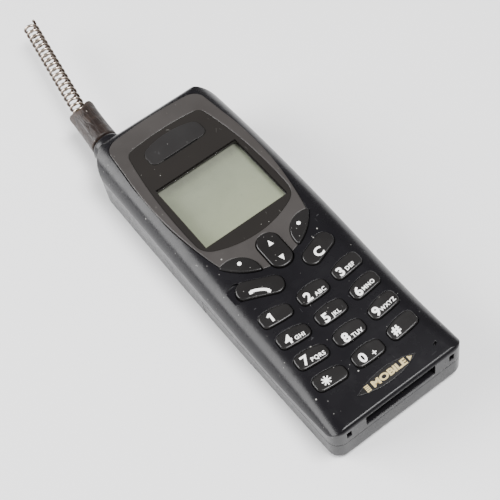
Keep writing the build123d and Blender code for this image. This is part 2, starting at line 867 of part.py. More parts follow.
with BuildPart() as rear_cover:
    add(back_form(0, 0) & block((-40, 40), (rear_y, 90), (-1, parting_height)))
    add(
        back_form(cover_wall, cover_wall) & block((-40, 40), (rear_y + 1.6, 90), (0, 20)),
        mode=Mode.SUBTRACT,
    )
    with BuildSketch(Plane.XY.offset(parting_height)):
        add(plan_outline(plate_inset))
    extrude(amount=floor_plate)
    add(
        block((-40, 40), (rear_y + 3, 90), (parting_height, parting_height + 5)),
        mode=Mode.SUBTRACT,
    )
    for place in low_screws:
        add(upright_cylinder(place, post_radius + 0.6, (parting_height, pad_top)) & inner_front)
    for place in high_screws:
        add(upright_cylinder(place, rear_post_radius, (0.5, parting_height)))
    head_hole = screw_head_radius + screw_head_gap
    for place in low_screws:
        add(upright_cylinder(place, post_hole, (5, 20)), mode=Mode.SUBTRACT)
        add(upright_cylinder(place, head_hole, (parting_height - 1, seat_low)), mode=Mode.SUBTRACT)
    for place in high_screws:
        add(upright_cylinder(place, post_hole, (0, 20)), mode=Mode.SUBTRACT)
        add(upright_cylinder(place, head_hole, (-1, seat_high)), mode=Mode.SUBTRACT)
    for y in (-34.0, 26.0):
        for side in (-1, 1):
            foot = plate_top - 0.1 if y < joint_y else cover_wall - 0.1
            post = upright_cylinder((side * 19.9, y), 1.2, (foot, 30))
            add(split(post, bisect_by=board_under, keep=Keep.BOTTOM, mode=Mode.PRIVATE))
    add(antenna_boss.part & block((-30, 0), (50, 80), (0, parting_height)))
    add(antenna_cylinder(socket_radius, 50, 80), mode=Mode.SUBTRACT)
    # Slots that the battery's hooks ride in: narrow at rest, wide where they let go
    narrow, wide = hook_size[0] / 2 + hook_gap, hook_head[0] / 2 + hook_gap
    long = hook_size[1] / 2 + hook_end_gap
    for y in hook_rows:
        for side in (-1, 1):
            x, open_y = side * hook_x, y - battery_slide
            track = block((x - narrow, x + narrow), (open_y - long, y + long), (9, 12))
            mouth = block((x - wide, x + wide), (open_y - long, open_y + long), (9, 12))
            add(track, mode=Mode.SUBTRACT)
            add(mouth, mode=Mode.SUBTRACT)
    # Window for the battery contacts
    add(block((-6.5, 6.5), (-9.5, -5.0), (9, 12)), mode=Mode.SUBTRACT)
    # Opening for the battery latch, stepped for its inner plate
    half = latch_width / 2 + latch_gap
    latch_half = latch_length / 2 + latch_gap
    reach = (latch_y - latch_half, latch_y + latch_half + latch_travel)
    add(block((-half, half), reach, (-1, 3)), mode=Mode.SUBTRACT)
    tongue_half = tongue[0] / 2 + latch_gap
    add(block((-tongue_half, tongue_half), (joint_y - 1, reach[0] + 1), (2.2, 4.4)), mode=Mode.SUBTRACT)
rear_cover.part.label = "rear_cover"
export_step(rear_cover.part, "parts/rear_cover.step")

with BuildPart() as battery_latch:
    half = latch_width / 2
    ends = (latch_y - latch_length / 2, latch_y + latch_length / 2)
    add(block((-half, half), ends, (0.3, 2.0)))
    for index in range(4):
        y = latch_y - 2.4 + index * 1.6
        add(block((-half + 2, half - 2), (y - 0.4, y + 0.4), (0, 0.6)), mode=Mode.SUBTRACT)
    add(block((-half - 1.6, half + 1.6), (ends[0] + 0.2, ends[1]), (cover_wall + 0.1, cover_wall + 1.2)))
    add(block((-tongue[0] / 2, tongue[0] / 2), (joint_y - tongue[1], ends[0] + 2), (2.4, 4.0)))
battery_latch.part.label = "battery_latch"
export_step(battery_latch.part, "parts/battery_latch.step")

with BuildPart() as cover_screws:
    for place in low_screws:
        add(upright_cylinder(place, screw_head_radius, (seat_low - screw_head_height, seat_low)))
        add(upright_cylinder(place, screw_shank_radius, (seat_low, pad_top + 4)))
    for place in high_screws:
        add(upright_cylinder(place, screw_head_radius, (seat_high - screw_head_height, seat_high)))
        add(upright_cylinder(place, screw_shank_radius, (seat_high, parting_height + 4)))
    for place in screw_places:
        base = seat_low if place in low_screws else seat_high
        with BuildSketch(Plane.XY.offset(base - screw_head_height)):
            with Locations(place):
                Rectangle(2.2, 0.5)
                Rectangle(0.5, 2.2)
        extrude(amount=0.6, mode=Mode.SUBTRACT)
cover_screws.part.label = "cover_screws"
export_step(cover_screws.part, "parts/cover_screws.step")


# Battery pack

battery_end = joint_y - seam_gap / 2
battery_top = parting_height - battery_gap
lid_base = battery_top - battery_lid

with BuildPart() as battery_housing:
    add(back_form(0, 0) & block((-40, 40), (-90, battery_end), (-1, battery_top)))
    add(
        back_form(battery_wall, battery_wall)
        & block((-40, 40), (-90, battery_end - battery_wall), (0, 20)),
        mode=Mode.SUBTRACT,
    )
    notch_half = tongue[0] / 2 + 0.3
    add(
        block((-notch_half, notch_half), (joint_y - tongue[1] - 0.3, joint_y + 1), (2.1, 4.3)),
        mode=Mode.SUBTRACT,
    )
battery_housing.part.label = "battery_housing"
export_step(battery_housing.part, "parts/battery_housing.step")

with BuildPart() as battery_cover:
    with BuildSketch(Plane.XY.offset(lid_base)):
        add(plan_outline(battery_wall + 0.05))
    extrude(amount=battery_lid)
    add(block((-40, 40), (battery_end - battery_wall - 0.05, 90), (0, 20)), mode=Mode.SUBTRACT)
    for y in hook_rows:
        for side in (-1, 1):
            x = side * hook_x
            post = (plate_top + 0.25, plate_top + 0.25 + hook_head[1])
            ys = (y - hook_size[1] / 2, y + hook_size[1] / 2)
            add(block((x - hook_size[0] / 2, x + hook_size[0] / 2), ys, (battery_top - 0.1, post[1])))
            add(block((x - hook_head[0] / 2, x + hook_head[0] / 2), ys, post))
    add(block((-6.6, 6.6), (-9.6, -4.6), (battery_top - 0.3, 12)), mode=Mode.SUBTRACT)
battery_cover.part.label = "battery_cover"
export_step(battery_cover.part, "parts/battery_cover.step")

with BuildPart() as battery_cells:
    for index in (-1, 0, 1):
        x = index * (cell_width + 0.4)
        add(block((x - cell_width / 2, x + cell_width / 2), (-65.0, -5.4), (battery_wall, lid_base)))
battery_cells.part.label = "battery_cells"
export_step(battery_cells.part, "parts/battery_cells.step")

with BuildPart() as battery_terminals:
    for x in (-4.4, 0, 4.4):
        add(block((x - 1.5, x + 1.5), (-9.2, -5.0), (battery_top - 0.3, battery_top - 0.05)))
battery_terminals.part.label = "battery_terminals"
export_step(battery_terminals.part, "parts/battery_terminals.step")

with BuildPart() as battery_contacts:
    add(on_board_box(board_under, (-6.2, 6.2), (-9.2, -5.4), -1.6))
    for x in (-4.4, 0, 4.4):
        blade = (battery_top + 0.05, board_height(-7) - board_thickness - 1)
        add(block((x - 0.8, x + 0.8), (-8.2, -6.2), blade))
battery_contacts.part.label = "battery_contacts"
export_step(battery_contacts.part, "parts/battery_contacts.step")


# Antenna

spring_axis = Vector(sin(spring_lean), cos(spring_lean), 0)
spring_foot = Vector(antenna_x, spring_start + wire_radius + 0.4, antenna_z)

with BuildPart() as antenna_socket:
    add(antenna_cylinder(socket_radius, 61.4, boss_end - 0.6))
    add(antenna_cylinder(stud_radius + stud_gap, 50, 90), mode=Mode.SUBTRACT)
antenna_socket.part.label = "antenna_socket"
export_step(antenna_socket.part, "parts/antenna_socket.step")

with BuildPart() as antenna_stud:
    add(antenna_cylinder(stud_radius, 62, sheath_start + 0.2))
    add(antenna_cylinder(sheath_bore, sheath_start, spring_start))
    with BuildSketch(Plane(origin=spring_foot - spring_axis, z_dir=spring_axis)):
        Circle(spring_radius - wire_radius - 0.08)
    extrude(amount=5.0)
    chamfer(antenna_stud.faces().sort_by(Axis.Y)[0].edges(), 0.5)
antenna_stud.part.label = "antenna_stud"
export_step(antenna_stud.part, "parts/antenna_stud.step")


def leaning_bore(radius, start, end, start_x, end_x):
    """A round bar between two places along the antenna, each with its own middle."""
    with BuildPart(mode=Mode.PRIVATE) as bore:
        for y, x in ((start, start_x), (end, end_x)):
            with BuildSketch(Plane.XZ.offset(-y)):
                with Locations((x, antenna_z)):
                    Circle(radius)
        loft()
    return bore.part


mouth_x = antenna_x + (sheath_end - sheath_start) * tan(sheath_lean)
with BuildPart() as antenna_sheath:
    add(leaning_bore(sheath_radius, sheath_start, sheath_end, antenna_x, mouth_x))
    fillet(antenna_sheath.faces().sort_by(Axis.Y)[-1].edges(), 0.8)
    add(antenna_cylinder(sheath_bore, sheath_start - 1, spring_start), mode=Mode.SUBTRACT)
    add(
        leaning_bore(mouth_bore, spring_start, sheath_end + 1, antenna_x + 0.3, mouth_x + 0.1),
        mode=Mode.SUBTRACT,
    )
    with BuildSketch(Plane.XY.offset(antenna_z)):
        with Locations((mouth_x - 0.6, sheath_end - 0.8)):
            Circle(3.4)
    extrude(amount=10, mode=Mode.SUBTRACT)
antenna_sheath.part.label = "antenna_sheath"
export_step(antenna_sheath.part, "parts/antenna_sheath.step")

with BuildPart() as antenna_spring:
    with BuildLine() as coil:
        Helix(
            pitch=spring_pitch,
            height=(spring_end - spring_foot.Y) / cos(spring_lean),
            radius=spring_radius,
            center=spring_foot,
            direction=spring_axis,
            lefthand=True,
        )
    with BuildSketch(Plane(origin=coil.line @ 0, z_dir=coil.line % 0)):
        Circle(wire_radius)
    sweep(path=coil.line, is_frenet=True)
antenna_spring.part.label = "antenna_spring"
export_step(antenna_spring.part, "parts/antenna_spring.step")
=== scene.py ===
import bpy, bmesh, math, random
from mathutils import Matrix, Vector, noise


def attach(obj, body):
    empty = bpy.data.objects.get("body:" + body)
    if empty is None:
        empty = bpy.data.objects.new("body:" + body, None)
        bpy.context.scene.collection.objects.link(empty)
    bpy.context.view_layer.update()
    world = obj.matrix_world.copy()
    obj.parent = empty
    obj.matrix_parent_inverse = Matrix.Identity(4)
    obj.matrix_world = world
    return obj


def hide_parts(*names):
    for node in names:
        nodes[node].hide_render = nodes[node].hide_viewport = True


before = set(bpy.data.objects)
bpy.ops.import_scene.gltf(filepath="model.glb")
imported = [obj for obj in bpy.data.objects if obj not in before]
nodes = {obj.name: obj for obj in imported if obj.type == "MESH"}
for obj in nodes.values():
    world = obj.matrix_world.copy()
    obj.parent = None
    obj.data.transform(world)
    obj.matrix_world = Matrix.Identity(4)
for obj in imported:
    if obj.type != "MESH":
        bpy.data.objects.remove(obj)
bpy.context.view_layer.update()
mm = 0.001
random.seed(7)
print("frame loaded:", len(nodes), "nodes")


class Value:
    # a socket that takes part in Python sums
    def __init__(self, finish, socket):
        self.finish = finish
        self.socket = socket

    def math(self, operation, first, second=None, clamp=False):
        inputs = {0: first} if second is None else {0: first, 1: second}
        settings = {"operation": operation, "use_clamp": clamp}
        return self.finish.node("ShaderNodeMath", settings, inputs)

    def __add__(self, other): return self.math("ADD", self, other)
    def __radd__(self, other): return self.math("ADD", other, self)
    def __sub__(self, other): return self.math("SUBTRACT", self, other)
    def __rsub__(self, other): return self.math("SUBTRACT", other, self)
    def __mul__(self, other): return self.math("MULTIPLY", self, other)
    def __rmul__(self, other): return self.math("MULTIPLY", other, self)
    def __truediv__(self, other): return self.math("DIVIDE", self, other)
    def __rtruediv__(self, other): return self.math("DIVIDE", other, self)
    def __gt__(self, other): return self.math("GREATER_THAN", self, other)
    def __lt__(self, other): return self.math("LESS_THAN", self, other)
    def size(self): return self.math("ABSOLUTE", self)
    def sine(self): return self.math("SINE", self)
    def clamped(self): return self.math("ADD", self, 0.0, clamp=True)


class Finish:
    # one material: a Principled shader and what feeds it
    def __init__(self, name, **fixed):
        self.material = bpy.data.materials.new(name)
        self.material.use_nodes = True
        self.tree = self.material.node_tree
        self.shader = self.tree.nodes["Principled BSDF"]
        self.coords = self.node("ShaderNodeTexCoord", out="Object")
        for socket, value in fixed.items():
            self.feed(socket.replace("_", " "), value)

    def node(self, kind, settings=None, inputs=None, out=0):
        made = self.tree.nodes.new(kind)
        for key, value in (settings or {}).items():
            if key == "stops":
                while len(made.color_ramp.elements) < len(value):
                    made.color_ramp.elements.new(0.5)
                for element, (place, colour) in zip(made.color_ramp.elements, value):
                    element.position = place
                    element.color = (*colour, 1)
            else:
                setattr(made, key, value)
        for key, value in (inputs or {}).items():
            if isinstance(value, Value):
                self.tree.links.new(value.socket, made.inputs[key])
            elif hasattr(value, "__len__") and made.inputs[key].type == "RGBA":
                made.inputs[key].default_value = (*value, 1)
            else:
                made.inputs[key].default_value = value
        return Value(self, made.outputs[out])

    def feed(self, socket, value):
        if isinstance(value, Value):
            self.tree.links.new(value.socket, self.shader.inputs[socket])
        elif hasattr(value, "__len__"):
            self.shader.inputs[socket].default_value = (*value, 1) if len(value) == 3 else value
        else:
            self.shader.inputs[socket].default_value = value

    def mix(self, factor, first, second):
        return self.node("ShaderNodeMix", {"data_type": "RGBA", "clamp_factor": True},
                         {0: factor, 6: first, 7: second}, out=2)

    def stretched(self, scale, turn=(0, 0, 0)):
        return self.node("ShaderNodeMapping", None,
                         {"Vector": self.coords, "Scale": scale, "Rotation": turn})

    def noise(self, scale, detail=2.0, rough=0.5, coords=None):
        return self.node("ShaderNodeTexNoise", None,
                         {"Vector": coords or self.coords, "Scale": scale, "Detail": detail,
                          "Roughness": rough})

    def cells(self, scale, feature="F1", out="Distance", coords=None):
        return self.node("ShaderNodeTexVoronoi", {"feature": feature},
                         {"Vector": coords or self.coords, "Scale": scale}, out=out)

    def step(self, value, low, high):
        return self.node("ShaderNodeMapRange", {"clamp": True},
                         {0: value, 1: low, 2: high, 3: 0.0, 4: 1.0})

    def part(self, axis):
        split = self.node("ShaderNodeSeparateXYZ", None, {0: self.coords})
        return Value(self, split.socket.node.outputs[axis])

    def bump(self, height, strength, distance, edge=0.0):
        inputs = {"Height": height, "Strength": strength, "Distance": distance}
        if edge:
            inputs["Normal"] = self.node("ShaderNodeBevel", {"samples": 6}, {"Radius": edge})
        self.feed("Normal", self.node("ShaderNodeBump", None, inputs))

    # thin lines, broken up by a noise
    def scratches(self, scale, width, amount, stretch=(1, 0.25, 1), turn=(0, 0, 0.6)):
        lines = self.cells(scale, "DISTANCE_TO_EDGE", coords=self.stretched(stretch, turn))
        broken = self.step(self.noise(scale * 1.7, 1.0), 1 - amount, 1.04 - amount)
        return self.step(lines, width, width * 0.3) * broken

    # specks in a few of the cells
    def specks(self, scale, radius, share):
        near = self.step(self.cells(scale), radius, radius * 0.6)
        chosen = self.cells(scale, out="Color")
        split = self.node("ShaderNodeSeparateColor", None, {0: chosen})
        return near * (split < share)


moulded = {
    "cover": dict(colour=(0.0048, 0.0044, 0.0056), bright=(0.0105, 0.0100, 0.0115), rough=0.26,
                  grain=0.05, dust=0.10, scratch=0.33, coat=0.0, edge=0.00035, shine=0.20),
    "bezel": dict(colour=(0.033, 0.0295, 0.028), bright=(0.055, 0.051, 0.049), rough=0.34,
                  grain=0.06, dust=0.08, scratch=0.34, coat=0.0, edge=0.0005, shine=0.40),
    "insert": dict(colour=(0.0125, 0.0115, 0.0115), bright=(0.024, 0.023, 0.023), rough=0.42,
                   grain=0.08, dust=0.08, scratch=0.36, coat=0.0, edge=0.0004, shine=0.28),
    "key": dict(colour=(0.0075, 0.0068, 0.0068), bright=(0.017, 0.016, 0.016), rough=0.27,
                grain=0.04, dust=0.12, scratch=0.30, coat=0.05, edge=0.0003, shine=0.30),
}


def mouldedPlastic(name):
    user = moulded[name]
    finish = Finish(name + "Plastic", Coat_Weight=user["coat"], Coat_Roughness=0.22,
                    Specular_IOR_Level=user["shine"])
    cloud = finish.noise(55, 3.0)
    smudge = finish.step(finish.noise(190, 4.0, 0.65), 0.50, 0.72)
    fine = finish.scratches(210, 0.011, user["scratch"])
    cross = finish.scratches(140, 0.007, user["scratch"] - 0.06, (0.3, 1, 1), (0, 0, -0.4))
    dust = finish.specks(330, 0.10, user["dust"])
    grit = finish.specks(900, 0.16, user["dust"] * 0.7)
    marks = (fine * 0.7 + cross * 0.6).clamped()
    base = finish.mix(finish.step(cloud, 0.35, 0.7) * 0.35, user["colour"], user["bright"])
    base = finish.mix(marks * 0.40, base, (0.10, 0.10, 0.105))
    base = finish.mix((dust + grit * 0.6).clamped() * 0.8, base, (0.38, 0.37, 0.35))
    finish.feed("Base Color", base)
    finish.feed("Roughness", user["rough"] + (cloud - 0.5) * 0.10 + smudge * 0.07 + marks * 0.12)
    grain = finish.noise(5200, 2.0, 0.6)
    finish.bump(grain * 0.6 + dust * 2.0 - marks * 0.8, user["grain"], 0.00006, user["edge"])
    return finish.material


# the clear part of the lens, from inside the printed edge to outside it
window = dict(middle=0.02185, across=(0.0163, 0.0165), along=(0.01475, 0.01495), clearness=0.075)


def printedWindow():
    # dark print behind the lens, clear over the display
    finish = Finish("lensWindow", Specular_IOR_Level=0.42, IOR=1.49, Coat_Weight=0.2,
                    Coat_Roughness=0.06)
    across = finish.part(0)
    along = finish.part(1)
    wide = finish.step(across.size(), *window["across"])
    near = finish.step((along - window["middle"]).size(), *window["along"])
    printed = finish.node("ShaderNodeMath", {"operation": "MAXIMUM"}, {0: wide, 1: near})
    dust = finish.specks(420, 0.09, 0.16)
    marks = finish.scratches(180, 0.006, 0.36)
    colour = finish.mix(finish.noise(80, 2.0) * 0.3, (0.011, 0.0095, 0.0085), (0.020, 0.018, 0.016))
    colour = finish.mix((dust * 0.8 + marks * 0.25).clamped(), colour, (0.30, 0.29, 0.27))
    finish.feed("Base Color", colour)
    haze = finish.step(finish.noise(260, 4.0, 0.6), 0.45, 0.75)
    finish.feed("Roughness", 0.07 + haze * 0.07 + marks * 0.2)
    finish.feed("Alpha", (printed + dust * 0.5 + marks * 0.25 + window["clearness"]).clamped())
    return finish.material


def liquidCrystal():
    finish = Finish("displayGlass", Roughness=0.32, Specular_IOR_Level=0.35, Coat_Weight=0.3,
                    Coat_Roughness=0.15)
    along = finish.part(1)
    across = finish.part(0)
    # painted light and shade: lighter towards the bottom of the display, darker towards its right
    # edge, and a darker band along its top edge as a painted shadow of the printed lens edge
    paintedLightFalloff = finish.step(along, 0.0335, 0.0085)
    colour = finish.mix(paintedLightFalloff, (0.215, 0.235, 0.172), (0.262, 0.286, 0.196))
    side = finish.step(across, 0.0120, 0.0166) * 0.35
    colour = finish.mix(side, colour, (0.20, 0.22, 0.165))
    top = finish.step(along, 0.0335, 0.0362)
    colour = finish.mix(top, colour, (0.19, 0.20, 0.16))
    blotch = finish.noise(120, 3.0, 0.6)
    colour = finish.mix(finish.step(blotch, 0.4, 0.8) * 0.25, colour, (0.34, 0.36, 0.27))
    cellPitch = 8200
    gridX = (across * cellPitch).sine()
    gridY = (along * cellPitch).sine()
    grid = ((gridX > 0.93) + (gridY > 0.93)).clamped()
    colour = finish.mix(grid * 0.06, colour, (0.22, 0.24, 0.18))
    finish.feed("Base Color", colour)
    # painted glow: the display gives off a faint light in its own colour
    finish.feed("Emission Color", colour)
    finish.feed("Emission Strength", 0.06)
    return finish.material


def wornRubber():
    finish = Finish("wornSheath", Specular_IOR_Level=0.24)
    tall = finish.stretched((1, 0.18, 1))
    streakAndSheen = finish.noise(900, 5.0, 0.7, tall)
    patch = finish.noise(260, 4.0, 0.65)
    along = finish.part(1)
    mouth = finish.step(along, 0.0850, 0.0945)
    scuffed = finish.step(patch + streakAndSheen * 0.35 + mouth * 0.22, 0.66, 0.84)
    # the vertical streaks are raised and glossier in the bump and roughness, and are also painted
    # lighter in the colour as a painted highlight along them
    colour = finish.mix(streakAndSheen, (0.008, 0.0055, 0.0048), (0.024, 0.0165, 0.0145))
    colour = finish.mix(scuffed * 0.5, colour, (0.052, 0.037, 0.030))
    crumbs = finish.step(finish.noise(1500, 3.0, 0.7), 0.60, 0.70) * mouth
    colour = finish.mix(crumbs * 0.4, colour, (0.11, 0.085, 0.068))
    nicks = finish.step(finish.cells(520, coords=finish.stretched((1, 0.30, 1))), 0.16, 0.10)
    nicks = nicks * finish.step(finish.noise(330, 2.0), 0.56, 0.62)
    colour = finish.mix(nicks * 0.7, colour, (0.50, 0.46, 0.42))
    finish.feed("Base Color", colour)
    finish.feed("Roughness", 0.36 + scuffed * 0.22 - streakAndSheen * 0.06)
    cracks = finish.step(finish.cells(700, "DISTANCE_TO_EDGE", coords=tall), 0.05, 0.0)
    finish.bump(streakAndSheen * 0.8 + patch - cracks * 0.5, 0.55, 0.00025)
    return finish.material


def bronzedWire():
    finish = Finish("bronzedWire", Metallic=1.0, Specular_IOR_Level=0.5)
    tarnish = finish.noise(420, 4.0, 0.65)
    fleck = finish.step(finish.noise(2400, 3.0, 0.6), 0.55, 0.72)
    # painted shade: the colour is dark on the lower side of the coil and bright on its top,
    # standing in for the shade underneath; the brighter flecks go only on the painted lit top
    paintedLitTop = finish.step(finish.part(2) + (tarnish - 0.5) * 0.001, 0.0134, 0.0151)
    colour = finish.mix(paintedLitTop, (0.050, 0.035, 0.027), (0.52, 0.435, 0.36))
    colour = finish.mix(fleck * paintedLitTop * 0.5, colour, (0.68, 0.59, 0.51))
    finish.feed("Base Color", colour)
    finish.feed("Roughness", 0.16 + tarnish * 0.20)
    finish.bump(tarnish + fleck * 0.3, 0.15, 0.00008)
    return finish.material


def printInkWithGlow(name, colour, rough=0.45):
    # painted glow: the ink gives off light in its own colour, so it shows brighter than the lamps
    # make it
    finish = Finish(name, Specular_IOR_Level=0.4, Emission_Color=colour, Emission_Strength=0.22)
    wear = finish.step(finish.noise(1900, 4.0, 0.7), 0.62, 0.80)
    finish.feed("Base Color", finish.mix(wear * 0.25, colour, [part * 0.5 for part in colour]))
    finish.feed("Roughness", rough + wear * 0.2)
    return finish.material


def goldInk():
    finish = Finish("goldInk", Metallic=0.75, Specular_IOR_Level=0.5)
    wear = finish.step(finish.noise(1700, 4.0, 0.7), 0.50, 0.78)
    finish.feed("Base Color", finish.mix(wear * 0.5, (0.86, 0.70, 0.36), (0.52, 0.40, 0.18)))
    finish.feed("Roughness", 0.30 + wear * 0.2)
    return finish.material


def solderMask():
    finish = Finish("boardMask", Coat_Weight=0.3, Coat_Roughness=0.2)
    tracks = finish.cells(380, "DISTANCE_TO_EDGE", coords=finish.stretched((1, 0.35, 1)))
    copper = finish.step(tracks, 0.10, 0.06)
    pads = finish.specks(700, 0.22, 0.45)
    colour = finish.mix(copper * 0.7, (0.008, 0.060, 0.026), (0.020, 0.125, 0.050))
    colour = finish.mix(pads, colour, (0.62, 0.50, 0.24))
    finish.feed("Base Color", colour)
    finish.feed("Metallic", pads * 0.9)
    finish.feed("Roughness", 0.38 - pads * 0.1)
    finish.bump(copper + pads, 0.3, 0.00003)
    return finish.material


def sheetMetal(name, colour, rough, brushed=(1, 0.04, 1)):
    finish = Finish(name, Metallic=1.0)
    lines = finish.noise(2600, 3.0, 0.6, finish.stretched(brushed))
    spots = finish.step(finish.noise(160, 3.0), 0.55, 0.75)
    finish.feed("Base Color", finish.mix(spots * 0.4, colour, [part * 0.62 for part in colour]))
    finish.feed("Roughness", rough + lines * 0.16 + spots * 0.08)
    finish.bump(lines, 0.12, 0.00003, 0.0002)
    return finish.material


def softRubber(name, colour, rough=0.62):
    finish = Finish(name, Specular_IOR_Level=0.4)
    cloud = finish.noise(240, 3.0)
    finish.feed("Base Color", finish.mix(cloud, colour, [part * 1.35 + 0.004 for part in colour]))
    finish.feed("Roughness", rough + (cloud - 0.5) * 0.14)
    finish.bump(finish.noise(3600, 2.0), 0.10, 0.00004, 0.0002)
    return finish.material


def clearPlastic():
    finish = Finish("lightGuide", Roughness=0.16, Transmission_Weight=0.6, IOR=1.49)
    dots = finish.specks(900, 0.3, 0.9)
    finish.feed("Base Color", finish.mix(dots * 0.5, (0.82, 0.86, 0.78), (0.95, 0.97, 0.93)))
    return finish.material


def wrappedCell():
    finish = Finish("cellWrap", Coat_Weight=0.4, Coat_Roughness=0.15)
    creases = finish.noise(240, 4.0, 0.6, finish.stretched((1, 0.2, 1)))
    band = finish.step((finish.part(1) + 0.058).size(), 0.0034, 0.0032)
    colour = finish.mix(band, (0.035, 0.075, 0.120), (0.42, 0.43, 0.44))
    finish.feed("Base Color", finish.mix(creases * 0.3, colour, (0.09, 0.13, 0.17)))
    finish.feed("Roughness", 0.28 + creases * 0.14)
    finish.bump(creases, 0.25, 0.00012)
    return finish.material


cover = mouldedPlastic("cover")
bezel = mouldedPlastic("bezel")
insert = mouldedPlastic("insert")
keyTop = mouldedPlastic("key")
steel = sheetMetal("screwSteel", (0.52, 0.52, 0.51), 0.28)
gold = sheetMetal("goldPlate", (0.86, 0.66, 0.30), 0.20)
darkRubber = softRubber("darkRubber", (0.022, 0.022, 0.024))
chipResin = softRubber("chipResin", (0.018, 0.018, 0.019), 0.5)

finishes = {
    "front_cover": cover, "rear_cover": cover, "battery_latch": cover, "battery_housing": cover,
    "battery_cover": cover, "display_bezel": bezel, "earpiece_insert": insert,
    "display_lens": printedWindow(), "name_plate": keyTop, "lcd_glass": liquidCrystal(),
    "light_guide": clearPlastic(), "lcd_frame": chipResin, "circuit_board": solderMask(),
    "radio_shield": sheetMetal("tinPlate", (0.70, 0.70, 0.68), 0.24), "chips": chipResin,
    "keypad_mat": softRubber("silicone", (0.42, 0.43, 0.42), 0.5), "earpiece_speaker": chipResin,
    "speaker_gasket": darkRubber, "microphone_boot": darkRubber, "microphone": steel,
    "buzzer": chipResin, "system_connector": chipResin, "connector_contacts": gold,
    "cover_screws": steel, "battery_cells": wrappedCell(), "battery_terminals": gold,
    "battery_contacts": gold, "antenna_socket": gold, "antenna_stud": gold,
}
finishes["processor_shield"] = finishes["radio_shield"]
for name, part in nodes.items():
    if name.startswith(("key_", "soft_key", "scroll_key")):
        finishes[name] = keyTop
    if name in finishes:
        part.data.materials.clear()
        part.data.materials.append(finishes[name])
print("finishes:", len(bpy.data.materials))


facePlane = dict(point=(0, -27.3, 20.221), slope=3.87, keyRise=0.6)


def onFace(x, y, lift=0.0, turn=0.0):
    slope = Matrix.Rotation(math.radians(facePlane["slope"]), 4, "X")
    place = Matrix.Translation(Vector(facePlane["point"]) * mm) @ slope
    spot = Matrix.Translation(Vector((x, y, lift)) * mm)
    return place @ spot @ Matrix.Rotation(math.radians(turn), 4, "Z")


def keepPiece(name, mesh, material, body):
    piece = bpy.data.objects.new(name, mesh)
    bpy.context.scene.collection.objects.link(piece)
    mesh.materials.clear()
    mesh.materials.append(material)
    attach(piece, body)
    return piece


def wordMesh(word, height, bold, wide=1.0, thick=0.03, spacing=1.0):
    curve = bpy.data.curves.new("word", "FONT")
    curve.body = word
    curve.size = height * mm / 0.72
    curve.offset = bold * mm
    curve.extrude = thick * mm
    curve.space_character = spacing
    curve.resolution_u = 4
    curve.align_x = "CENTER"
    curve.align_y = "CENTER"
    holder = bpy.data.objects.new("word", curve)
    bpy.context.scene.collection.objects.link(holder)
    ready = holder.evaluated_get(bpy.context.evaluated_depsgraph_get())
    mesh = bpy.data.meshes.new_from_object(ready)
    bpy.data.objects.remove(holder)
    mesh.transform(Matrix.Diagonal((wide, 1, 1, 1)))
    return mesh


def centredOn(mesh, place):
    low = [min(v.co[i] for v in mesh.vertices) for i in (0, 1)]
    high = [max(v.co[i] for v in mesh.vertices) for i in (0, 1)]
    middle = Vector(((low[0] + high[0]) / 2, (low[1] + high[1]) / 2, 0))
    mesh.transform(place @ Matrix.Translation(-middle))
    return mesh


def joined(meshes):
    work = bmesh.new()
    for mesh in meshes:
        work.from_mesh(mesh)
    bmesh.ops.remove_doubles(work, verts=work.verts, dist=1e-7)
    result = bpy.data.meshes.new("joined")
    work.to_mesh(result)
    work.free()
    return result


legends = {
    "key_1": [("1", -15.8, 0.95, 3.1, -3)],
    "key_2": [("2", -2.3, -0.55, 3.1, 0), ("ABC", 1.85, -1.35, 1.38, 0)],
    "key_3": [("3", 11.0, 0.0, 3.1, 5), ("DEF", 14.55, -0.2, 1.38, 6)],
    "key_4": [("4", -16.0, -8.35, 3.1, -3), ("GHI", -12.4, -9.5, 1.38, -7)],
    "key_5": [("5", -2.45, -9.75, 3.1, 0), ("JKL", 1.05, -10.45, 1.38, 0)],
    "key_6": [("6", 10.85, -8.9, 3.1, 5), ("MNO", 14.75, -8.95, 1.38, 6)],
    "key_7": [("7", -16.1, -17.0, 3.1, -3), ("PQRS", -12.25, -18.4, 1.38, -6)],
    "key_8": [("8", -2.0, -18.75, 3.1, 0), ("TUV", 1.75, -19.6, 1.38, 0)],
    "key_9": [("9", 10.75, -17.75, 3.1, 5), ("WXYZ", 14.95, -17.9, 1.38, 6)],
    "key_star": [("*", -15.3, -26.1, 3.1, -4)],
    "key_0": [("0", -2.3, -27.1, 3.1, 0), ("+", 1.5, -27.9, 2.2, 0)],
    "key_hash": [("#", 11.2, -26.5, 2.9, 3)],
    "key_clear": [("C", 10.2, 10.0, 3.1, 3)],
}
glowingInk = printInkWithGlow("whiteInkGlowing", (0.90, 0.89, 0.87))
inkLift = facePlane["keyRise"] + 0.005


def starMesh(size):
    # four strokes crossing in the middle
    work = bmesh.new()
    for index in range(4):
        bar = bmesh.ops.create_cube(work, size=mm)["verts"]
        bmesh.ops.scale(work, vec=(0.42, size, 0.06), verts=bar)
        turn = Matrix.Rotation(math.radians(45 * index), 3, "Z")
        bmesh.ops.rotate(work, cent=(0, 0, 0), matrix=turn, verts=bar)
        bmesh.ops.translate(work, vec=(0, 0, index * 2e-6), verts=bar)
    mesh = bpy.data.meshes.new("star")
    work.to_mesh(mesh)
    work.free()
    return mesh


